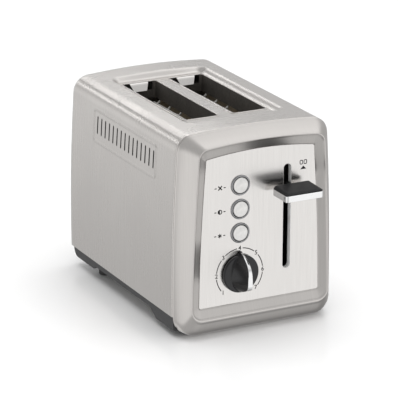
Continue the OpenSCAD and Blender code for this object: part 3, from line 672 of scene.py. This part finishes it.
def spaced(stops):
    """Values through (start, step) stops up to the last stop's start."""
    values = []
    for (start, step), (end, _) in zip(stops, stops[1:]):
        count = max(1, round((end - start) / step))
        values += [start + (end - start) * k / count for k in range(count)]
    return values + [stops[-1][0]]


def wrap_rows():
    """(y, inset) of the wrap's cross-sections, with a rolled front edge."""
    rows = [(WRAP_Y0 + ROLL * MM * (1 - math.cos(a)), ROLL * (1 - math.sin(a)))
            for a in np.radians(np.linspace(0, 80, 5))]
    fine, medium, coarse = 0.45 * MM, 0.9 * MM, 5 * MM
    edge = 2 * MM
    stops = [(WRAP_Y0 + ROLL * MM, coarse), (PAN_Y[0] - MM, medium), (BEAD_Y[0] - edge, fine),
             (BEAD_Y[0] + 2 * edge, medium), (PAN_Y[0] + PAN_END, coarse), (BEAD_Y[1] - 2 * edge, fine),
             (BEAD_Y[1] + edge, medium), (PAN_Y[1] + MM, coarse), (WRAP_Y1, coarse)]
    return rows + [(y, 0.0) for y in spaced(stops)]


def wrap_columns():
    """(kind, value) of the wrap's lengthwise lines, from the bottom of +X to the middle of the top."""
    high = side_range(BACK_EDGE)[1]
    low_bead, high_bead = BEAD_Z[0] / MM, BEAD_Z[1] / MM
    sides = spaced([(WRAP_LOW / MM, 6), (low_bead - 2, 0.45), (low_bead + 4, 2.5), (high_bead - 4, 0.45),
                    (min(high, high_bead + 2), 1.0), (high, 1.0)])
    corner = np.linspace(0, 90, 19)[1:-1]
    tops = spaced([(-arch_half(BACK_EDGE), 1.6), (-53, 0.8), (-38, 3), (-7, 2.5), (0, 1)])
    return [("side", z) for z in sides] + [("corner", a) for a in corner] + [("top", -x) for x in tops]


def wrap_point(column, y, inset):
    """(x, z) of the wrap where a lengthwise line crosses a cross-section."""
    kind, value = column
    o = BACK_EDGE
    if kind == "side":
        z = value * MM
        return (side_x(o, value) - inset) * MM + bead_height(y, z), z
    if kind == "corner":
        a = math.radians(value)
        radius = o[TOP_R] - inset
        return (arch_half(o) + radius * math.cos(a)) * MM, (side_range(o)[1] + radius * math.sin(a)) * MM
    x = value * MM
    z = (top_z(o, value) - inset) * MM
    return x, z + (PAN_Z - z) * pan_share(x, y)


def stadium(half_w, half_h):
    """A slit with round ends."""
    return rounded_rect(half_w, half_h, half_w * 0.999, 6)


def body_wrap():
    """The steel wrap with its sunk top, bread slots, vent beads and vents."""
    rows, half = wrap_rows(), wrap_columns()
    verts = []
    for y, inset in rows:
        right = [wrap_point(c, y, inset) for c in half]
        verts += [(x, y, z) for x, z in right] + [(-x, y, z) for x, z in reversed(right[:-1])]
    faces = loft_faces(len(rows), 2 * len(half) - 1, closed_columns=False)
    obj = make_piece("wrap", verts, faces, HOUSING, WRAP_STEEL, ["body_wrap"])
    thick = obj.modifiers.new("sheet", "SOLIDIFY")
    thick.thickness = SHEET
    thick.offset = -1
    apply_modifiers(obj)
    slots = [prism(rounded_rect(SLOT_HALF_W, SLOT_HALF_L, SLOT_CORNER),
                   lambda u, v, w, x=side * SLOT_X: (x + u, SLOT_Y + v, w),
                   PAN_Z - SLOT_CUT, PAN_Z + SLOT_CUT)
             for side in (-1, 1)]
    vent_mid, vent_half = sum(VENT_Z) / 2, (VENT_Z[1] - VENT_Z[0]) / 2
    vents = [prism(stadium(VENT_W / 2, vent_half),
                   lambda u, v, w, y=VENT_Y0 + k * VENT_PITCH: (w, y + u, vent_mid + v),
                   side * VENT_CUT_X[0], side * VENT_CUT_X[1])
             for k in range(VENT_COUNT) for side in (-1, 1)]
    cut(obj, slots + vents)
    finish_mesh(obj, 40)


# The bright tongue at a slot's rear end
TONGUE_DEPTH = 8.2 * MM
TONGUE_HALF_TOP = 10.2 * MM
TONGUE_HALF_LOW = 6.9 * MM
TONGUE_CURL = 1.6 * MM
TONGUE_LEAN = 4 * MM
TONGUE_SHEET = 0.5 * MM
TONGUE_ROWS, TONGUE_COLUMNS = 12, 9


def slot_rim(name, x):
    """The rolled edge round a bread slot."""
    gap = 0.1 * MM
    path = [(x + u, SLOT_Y + v, PAN_Z - 0.15 * MM)
            for u, v in rounded_rect(SLOT_HALF_W + gap, SLOT_HALF_L + gap, SLOT_CORNER)]
    verts, faces = closed_tube(path, RIM_RADIUS, 12)
    make_piece(f"slot_rim_{name}", verts, faces, HOUSING, WRAP_STEEL)


def slot_tongue(name, x):
    """The tongue at a slot's rear end: it leans forward, and its top curls back."""
    y = SLOT_Y + SLOT_HALF_L - 1.2 * MM
    verts = []
    for t in np.linspace(0, 1, TONGUE_ROWS):
        half = TONGUE_HALF_LOW + (TONGUE_HALF_TOP - TONGUE_HALF_LOW) * t
        z = PAN_Z - TONGUE_DEPTH * (1 - t) + 0.4 * MM
        back = TONGUE_CURL * max(0.0, (t - 0.75) / 0.25) ** 2
        for u in np.linspace(-1, 1, TONGUE_COLUMNS):
            verts.append((x + u * half, y + back - TONGUE_LEAN * (1 - t), z))
    faces = loft_faces(TONGUE_ROWS, TONGUE_COLUMNS, closed_columns=False)
    obj = make_piece(f"slot_tongue_{name}", verts, faces, HOUSING, PANEL_STEEL)
    thick = obj.modifiers.new("sheet", "SOLIDIFY")
    thick.thickness = TONGUE_SHEET
    apply_modifiers(obj)
    finish_mesh(obj)


# ---- Buttons, knob and lever ----

def buttons():
    """Three dished caps, each in its chrome ring."""
    cap_r, ring_r = half_span("button_stop", 0), half_span("button_rings", 0)
    front = span("button_stop", 1)[0] - PANEL_Y
    edge = 0.7 * MM
    cap_back, stem_r, stem_back = 4.5 * MM, 2.4 * MM, 12 * MM
    dish = [(AXIS_R, 0.35), (cap_r * 0.3, 0.3), (cap_r * 0.62, 0.12), (cap_r - 1.5 * MM, 0)]
    cap = [(r, front + depth * MM) for r, depth in dish]
    cap += [(cap_r - edge + edge * math.sin(a), front + edge * (1 - math.cos(a)))
            for a in np.radians(np.linspace(0, 90, 6))]
    cap += [(cap_r, cap_back), (stem_r, cap_back), (stem_r, stem_back), (AXIS_R, stem_back)]
    inner, neck, ring_back = cap_r + 0.35 * MM, 9 * MM, 3.6 * MM
    ring = [(inner, ring_back), (neck, ring_back), (neck, 0.0), (ring_r, 0.0)]
    ring += [(ring_r - 0.05 * MM, -0.5 * MM)]
    ring += arc((ring_r - 1.15 * MM, -0.45 * MM), 1.0 * MM, 0, -90, 6)
    ring += [(inner + 0.3 * MM, -1.1 * MM), (inner, -0.4 * MM)]
    ring_faces = loft_faces(len(ring), TURN_STEPS, closed_rows=True)
    rings = []
    for name, body in BUTTONS.items():
        centre = (middle(name).x, PANEL_Y, middle(name).z)
        make_piece(name + "_cap", turned(cap, centre, TURN_STEPS), capped_faces(len(cap), TURN_STEPS), body,
                   BUTTON, [name], centre)
        rings.append((turned(ring, centre, TURN_STEPS), ring_faces))
    verts, faces = joined(rings)
    make_piece("button_bezels", verts, faces, HOUSING, RING_CHROME, ["button_rings"], angle=45)


# The grip's crest, in millimetres: height above the knob's axis, distance in front of the panel, half width
CREST = [
    (-17, 4.2, 2.5), (-14.5, 12, 2.5), (-12, 17.6, 2.5), (-10, 20, 2.5), (-6, 21.4, 2.5),
    (-1, 21.5, 2.4), (3, 21.3, 2.1), (7, 20.5, 1.85), (10.5, 18.8, 1.7), (13.5, 16, 1.5),
    (17, 11.6, 1.3), (19.6, 7.2, 1.0), (21.5, 1.6, 0.85),
]
# The grip's foot: its greatest half width, the height where it is widest, and its reach below and above
# that height
GRIP_HALF = 11.0
GRIP_WIDEST, GRIP_BELOW, GRIP_ABOVE = -2, 15, 23.5
# How far the crest lies under the strip, at its edges and at its middle
EDGE_SUNK, MIDDLE_SUNK = 0.6, 0.45
# The strip stands this far above the crest, but no further out than the crest's highest part
STRIP_LIFT = 0.28
STRIP_FLAT, STRIP_OUT = 21.3, 21.5
STRIP_RANGE = (-16.2, 21)


def crest_half(v):
    """Half width of the crest at height v above the axis."""
    heights, _, half = zip(*CREST)
    return np.interp(v, heights, half)


def grip_half(v):
    """Half width of the grip's foot at height v above the axis."""
    rise = v - GRIP_WIDEST
    if rise <= 0:
        return GRIP_HALF * math.sqrt(max(0.0, 1 - (rise / GRIP_BELOW) ** 2))
    t = rise / GRIP_ABOVE
    return GRIP_HALF * (1 - t) ** 0.85 * (1 + 0.35 * t) + 0.8 * t


def smooth_crest():
    """The crest as closely spaced (height, distance in front of the panel)."""
    points = smooth_path([(0, out, v) for v, out, _ in CREST], 5)
    return [(p.z, p.y) for p in points]


def on_knob(x, out, v):
    """A place x mm right of the knob's axis, out mm in front of the panel and v mm above the axis."""
    return KNOB.x + x * MM, KNOB.y - out * MM, KNOB.z + v * MM


def knob_disc():
    """Vertices and faces of the disc under the grip."""
    hole, rim = 3.0 * MM, 1.3 * MM
    back, front = -0.8 * MM, -4.15 * MM
    profile = [(hole, back), (KNOB_R - 0.4 * MM, back), (KNOB_R, -1.3 * MM), (KNOB_R, -2.6 * MM)]
    profile += arc((KNOB_R - rim, -2.7 * MM), rim, 0, -90, 6)
    profile += [(KNOB_R - 4 * MM, front), (hole, front)]
    return turned(profile, KNOB, DISC_STEPS), loft_faces(len(profile), DISC_STEPS, closed_rows=True)


def knob():
    """The leaf-shaped grip on its disc, and the bright strip along its crest."""
    stations = smooth_crest()
    flank = 12
    grip = []
    for v, out in stations:
        half = crest_half(v)
        foot = max(half + 0.02, grip_half(v))
        foot_out = min(3.6 if v < 18 else 1.4, out - 0.2)
        left = []
        for t in np.linspace(0, 1, flank):
            a, b, c = (1 - t) ** 2, 2 * t * (1 - t), t * t
            left.append((a * foot + b * (half + (foot - half) * 0.36) + c * half,
                         a * foot_out + b * (foot_out + (out - foot_out) * 0.42) + c * (out - EDGE_SUNK)))
        left.append((half - 0.3, out - MIDDLE_SUNK))
        section = [(-x, p) for x, p in left] + list(reversed(left))
        grip += [on_knob(x, p, v) for x, p in section]
    grip_part = (grip, capped_faces(len(stations), 2 * (flank + 1)))
    verts, faces = joined([knob_disc(), grip_part])
    make_piece("knob_grip", verts, faces, "timer_knob", GLOSS_BLACK, ["knob"], KNOB, 40)
    strip = []
    chosen = [(v, out) for v, out in stations if STRIP_RANGE[0] < v < STRIP_RANGE[1]]
    for v, out in chosen:
        half = crest_half(v) - 0.12
        lie = out + STRIP_LIFT if out < STRIP_FLAT else min(STRIP_OUT, out)
        section = [(-half, lie - 0.6), (-half, lie - 0.12), (-half + 0.15, lie)]
        section += [(-x, p) for x, p in reversed(section)]
        strip += [on_knob(x, p, v) for x, p in section]
    faces = capped_faces(len(chosen), 6)
    make_piece("knob_strip", strip, faces, "timer_knob", CHROME, ["knob_trim"], KNOB, 30)


def paddle():
    """The lever's paddle: a soft-edged top with its core, and the chrome band round it."""
    low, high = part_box("lever_trim")
    top_z1 = span("lever_paddle", 2)[1]
    centre = ((low.x + high.x) / 2, (low.y + high.y) / 2)
    half_x, half_y = (high.x - low.x) / 2, (high.y - low.y) / 2
    origin = (centre[0], centre[1], high.z)
    drop, corner = 1.6 * MM, 2.6 * MM

    def layer(inset, z, tilt):
        """The paddle's plan at one height; a tilted layer falls towards the front."""
        made = []
        radius = max(corner - inset * 0.6, 0.5 * MM)
        for u, v in rounded_rect(half_x - inset, half_y - inset, radius, 7):
            fall = drop * (0.5 - v / (2 * half_y)) if tilt else 0
            made.append((centre[0] + u, centre[1] + v, z - fall))
        return made

    levels = [(1.3, low.z + 0.25 * MM, False), (1.3, high.z + 0.1 * MM, False),
              (0.35, high.z + 0.12 * MM, False), (0.3, high.z + 0.5 * MM, False),
              (0.45, high.z + 1.3 * MM, False), (1.5, top_z1 - 0.75 * MM, True),
              (2.0, top_z1 - 0.3 * MM, True), (2.9, top_z1 - 0.06 * MM, True), (4.0, top_z1, True)]
    rows = [p for inset, z, tilt in levels for p in layer(inset * MM, z, tilt)]
    n = len(rows) // len(levels)
    faces = capped_faces(len(levels), n)
    make_piece("paddle_top", rows, faces, "carriage_body", PADDLE_TOP, ["lever_paddle"],
               origin, 30)
    levels = [(1.1, low.z), (0.3, low.z), (0.05, low.z + 0.2 * MM), (0.0, low.z + 0.5 * MM),
              (0.0, high.z - 0.5 * MM), (0.05, high.z - 0.2 * MM), (0.3, high.z), (1.1, high.z)]
    rows = [p for inset, z in levels for p in layer(inset * MM, z, False)]
    faces = loft_faces(len(levels), n, closed_rows=True)
    make_piece("paddle_band", rows, faces, "carriage_body", CHROME, ["lever_trim"], origin, 30)


# The skin inside the lever slot: lowest and highest place, half width, thickness, and the millimetres behind
# the panel's face where it begins and ends. The heights and the half width repeat those of the CAD's slot.
FOLD_Z = (55.7 * MM, 157.9 * MM)
FOLD_HALF_W = 4.15 * MM
FOLD_SKIN = 0.25 * MM
FOLD_DEPTH = (0.15, 5.2)


def slot_fold():
    """The pale folded edge that lines the lever slot."""
    half_h, centre_z = (FOLD_Z[1] - FOLD_Z[0]) / 2, (FOLD_Z[0] + FOLD_Z[1]) / 2
    front, back = FOLD_DEPTH
    section = [(0, front), (0, back), (FOLD_SKIN, back), (FOLD_SKIN, front)]
    outlines = [rounded_rect(FOLD_HALF_W - inset, half_h - inset, FOLD_HALF_W * 0.999 - inset, 10)
                for inset, _ in section]
    count = len(outlines[0])
    verts = [(LEVER_X + points[k][0], behind(depth), centre_z + points[k][1])
             for k in range(count) for points, (_, depth) in zip(outlines, section)]
    faces = loft_faces(count, len(section), closed_rows=True)
    make_piece("lever_slot_fold", verts, faces, HOUSING, FOLD)


# ---- Printed marks ----
INK_T = 0.05 * MM
LINE_W = 0.85 * MM
# The dial: radius, first angle and step in degrees, count of numbers, and the gap beside each number
DIAL_R = 24.1 * MM
DIAL_FIRST, DIAL_STEP, DIAL_COUNT, DIAL_GAP = -135, 45, 7, 7
NUMBER_SIZE = 5.9 * MM
NUMBER_WEIGHT = 0.08 * MM


def stroke(points, width, closed=False):
    """A printed line on the panel through (x, z) points."""
    n = len(points)
    sides = [[], []]
    for k, (x, z) in enumerate(points):
        ahead = points[(k + 1) % n] if closed else points[min(k + 1, n - 1)]
        back = points[k - 1] if closed else points[max(k - 1, 0)]
        along = Vector((ahead[0] - back[0], ahead[1] - back[1])).normalized()
        for s, sign in ((0, 1), (1, -1)):
            sides[s].append((x - along.y * sign * width / 2, z + along.x * sign * width / 2))
    verts = []
    for k in range(n):
        (x0, z0), (x1, z1) = sides[0][k], sides[1][k]
        verts += [(x0, PANEL_Y, z0), (x1, PANEL_Y, z1), (x1, PANEL_Y - INK_T, z1), (x0, PANEL_Y - INK_T, z0)]
    return verts, loft_faces(n, 4, closed_rows=True) if closed else capped_faces(n, 4)


def filled(points):
    """A printed patch within (x, z) points."""
    return prism(points, lambda u, v, w: (u, w, v), PANEL_Y, PANEL_Y - INK_T)


def printed(name, parts):
    """One piece of printed marks."""
    verts, faces = joined(parts)
    make_piece(name, verts, faces, HOUSING, INK)


def on_dial(a):
    """(x, z) of the dial's circle at angle a, clockwise from the top."""
    return KNOB.x + DIAL_R * math.sin(a), KNOB.z + DIAL_R * math.cos(a)


def dial_marks():
    """Arcs and the browning numbers round the knob."""
    arcs = []
    for k in range(DIAL_COUNT - 1):
        start = DIAL_FIRST + k * DIAL_STEP
        angles = np.radians(np.linspace(start + DIAL_GAP, start + DIAL_STEP - DIAL_GAP, 14))
        arcs.append(stroke([on_dial(a) for a in angles], LINE_W))
    printed("dial_arcs", arcs)
    for k in range(DIAL_COUNT):
        name = f"dial_number_{k + 1}"
        curve = bpy.data.curves.new(name, "FONT")
        curve.body = str(k + 1)
        curve.size = NUMBER_SIZE
        curve.extrude = INK_T / 2
        curve.offset = NUMBER_WEIGHT
        curve.align_x = "CENTER"
        curve.align_y = "CENTER"
        curve.materials.append(INK)
        obj = bpy.data.objects.new(name, curve)
        scene.collection.objects.link(obj)
        x, z = on_dial(math.radians(DIAL_FIRST + k * DIAL_STEP))
        obj.location = (x, PANEL_Y - INK_T / 2, z)
        obj.rotation_euler = (math.radians(90), 0, 0)
        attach(obj, HOUSING)


def pictograms():
    """A small sign beside each button, and the lift sign above the lever."""
    reach, size = 20.9 * MM, 1.9 * MM
    dash = (3.6 * MM, 5.7 * MM)
    for name in BUTTONS:
        x, z = middle(name).x - reach, middle(name).z
        parts = [stroke([(x + side * dash[0], z), (x + side * dash[1], z)], LINE_W) for side in (-1, 1)]
        if name == "button_stop":
            for slope in (-1, 1):
                ends = [(x - size, z - slope * size), (x + size, z + slope * size)]
                parts.append(stroke(ends, LINE_W * 1.3))
        elif name == "button_one_side":
            parts.append(stroke(arc((x, z), size, 0, 360, 24)[:-1], LINE_W, closed=True))
            parts.append(filled(arc((x, z), size, 90, 270, 12)))
        else:
            for k in range(3):
                a = math.radians(30 + 60 * k)
                tip = (size * 1.1 * math.cos(a), size * 1.1 * math.sin(a))
                parts.append(stroke([(x - tip[0], z - tip[1]), (x + tip[0], z + tip[1])], LINE_W))
        printed(name + "_sign", parts)
    # The lift sign: an arrow with two slices of bread above it
    x0, z0 = LEVER_X + 16.6 * MM, 150.2 * MM
    arrow = 3.2 * MM
    parts = [filled([(x0 - arrow, z0), (x0 + arrow, z0), (x0, z0 + arrow)])]
    for side in (-1, 1):
        slice_x, slice_z = x0 + side * 2.1 * MM, z0 + 6.8 * MM
        slice_edge = [(slice_x + u * MM, slice_z + v * MM) for u, v in rounded_rect(1.35, 1.8, 0.7, 4)]
        parts.append(stroke(slice_edge, 0.75 * MM, closed=True))
    printed("lift_sign", parts)


# ---- Camera, light and floor ----

def camera():
    """A long lens from the front left, turned slightly about its own axis."""
    yaw, pitch, roll = (math.radians(a) for a in (-27.37, 18.69, 0.26))
    distance = 2.417
    target = Vector((-0.00298, 0.0090, 0.0927))
    forward = Vector((-math.sin(yaw) * math.cos(pitch), math.cos(yaw) * math.cos(pitch), -math.sin(pitch)))
    right = Vector((math.cos(yaw), math.sin(yaw), 0))
    up = right.cross(forward)
    turned_right = right * math.cos(roll) + up * math.sin(roll)
    turned_up = up * math.cos(roll) - right * math.sin(roll)
    data = bpy.data.cameras.new("camera")
    data.lens = 227.1
    data.sensor_width = 36
    data.clip_end = 50
    obj = bpy.data.objects.new("camera", data)
    scene.collection.objects.link(obj)
    rotation = Matrix((turned_right, turned_up, -forward)).transposed()
    obj.matrix_world = Matrix.Translation(target - forward * distance) @ rotation.to_4x4()
    scene.camera = obj


def area_light(name, place, target, size, power, glossy=True):
    """A rectangular lamp aimed at a target, unseen by the camera."""
    data = bpy.data.lights.new(name, "AREA")
    data.shape = "RECTANGLE"
    data.size, data.size_y = size
    data.energy = power
    obj = bpy.data.objects.new(name, data)
    scene.collection.objects.link(obj)
    obj.location = place
    obj.rotation_mode = "QUATERNION"
    obj.rotation_quaternion = (Vector(target) - Vector(place)).to_track_quat("-Z", "Y")
    obj.visible_camera = False
    obj.visible_glossy = glossy


def direction(azimuth, elevation):
    """A unit vector; azimuth 0 is the front (-Y) and 90 is +X, in degrees."""
    a, e = math.radians(azimuth), math.radians(elevation)
    return math.sin(a) * math.cos(e), -math.cos(a) * math.cos(e), math.sin(e)


# The studio's grey, and its soft boxes and one dark flag: azimuth, elevation, inner and outer radius in
# degrees, added radiance
AMBIENT = 0.55
STUDIO = [
    (30, -12, 14, 42, 0.52),
    (-75, -10, 15, 42, 0.5),
    (48, 58, 14, 36, 0.35),
    (110, 57, 14, 36, 0.55),
    (-152, -4, 4, 20, 0.45),
    (-152, -44, 8, 26, 0.3),
    (150, 25, 8, 35, 0.14),
    (77, -19, 6, 28, 0.14),
    (58, -60, 6, 20, 0.25),
    (113, -62, 12, 36, -0.3),
]


def world_light():
    """A grey studio with soft boxes round the object; the camera itself sees plain white."""
    world = bpy.data.worlds.new("studio")
    scene.world = world
    world.use_nodes = True
    tree = world.node_tree
    background = tree.nodes["Background"]
    place = tree.nodes.new("ShaderNodeTexCoord")
    total = None
    for azimuth, elevation, inner, outer, amount in STUDIO:
        dot = tree.nodes.new("ShaderNodeVectorMath")
        dot.operation = "DOT_PRODUCT"
        tree.links.new(place.outputs["Generated"], dot.inputs[0])
        dot.inputs[1].default_value = direction(azimuth, elevation)
        edge = tree.nodes.new("ShaderNodeMapRange")
        edge.interpolation_type = "SMOOTHSTEP"
        edge.inputs["From Min"].default_value = math.cos(math.radians(outer))
        edge.inputs["From Max"].default_value = math.cos(math.radians(inner))
        edge.inputs["To Min"].default_value = 0
        edge.inputs["To Max"].default_value = amount
        tree.links.new(dot.outputs["Value"], edge.inputs["Value"])
        add = tree.nodes.new("ShaderNodeMath")
        add.operation = "ADD"
        add.inputs[0].default_value = AMBIENT
        if total is not None:
            tree.links.new(total, add.inputs[0])
        tree.links.new(edge.outputs["Result"], add.inputs[1])
        total = add.outputs["Value"]
    path = tree.nodes.new("ShaderNodeLightPath")
    seen = tree.nodes.new("ShaderNodeMix")
    tree.links.new(path.outputs["Is Camera Ray"], seen.inputs["Factor"])
    tree.links.new(total, seen.inputs["A"])
    seen.inputs["B"].default_value = 1.0
    tree.links.new(seen.outputs["Result"], background.inputs["Strength"])
    background.inputs["Color"].default_value = (1, 1, 1, 1)


def floor():
    """A pale, slightly glossy sheet just under the feet."""
    half, below, count = 6.0, 0.0002, 9
    shares = np.linspace(-1, 1, count)
    verts = [(x * half, y * half, -below) for y in shares for x in shares]
    mesh = bpy.data.meshes.new("floor")
    mesh.from_pydata(verts, [], loft_faces(count, count, closed_columns=False))
    obj = bpy.data.objects.new("floor", mesh)
    scene.collection.objects.link(obj)
    material = new_material("floor", (0.95, 0.95, 0.95), 0.18, specular=0.35)
    clouds = noise(material, 3, detail=2)
    link(material, remap(material, clouds, 0.17, 0.2), "Roughness")
    obj.data.materials.append(material)
    obj.visible_glossy = False


for finish, finished_nodes in CAD_FINISHES:
    for node_name in finished_nodes:
        finish_cad_node(node_name, finish)
front_bezel()
body_wrap()
for slot_name, slot_x in (("left", -SLOT_X), ("right", SLOT_X)):
    slot_rim(slot_name, slot_x)
    slot_tongue(slot_name, slot_x)
buttons()
knob()
paddle()
slot_fold()
dial_marks()
pictograms()
camera()
world_light()
floor()
area_light("key", (1.5, -2.0, 0.45), (0, -0.05, 0.1), (0.7, 0.7), 7, glossy=False)
area_light("overhead", (0.0, 0.1, 2.4), (0, 0, 0), (2.4, 2.4), 37, glossy=False)
area_light("shoulder_low", (-1.0, 2.2, 1.05), (0, 0, 0.19), (1.2, 0.12), 1.5)
area_light("shoulder_high", (0.3, 2.1, 1.5), (0, 0, 0.19), (1.6, 0.2), 3)
scene.view_settings.view_transform = "Standard"
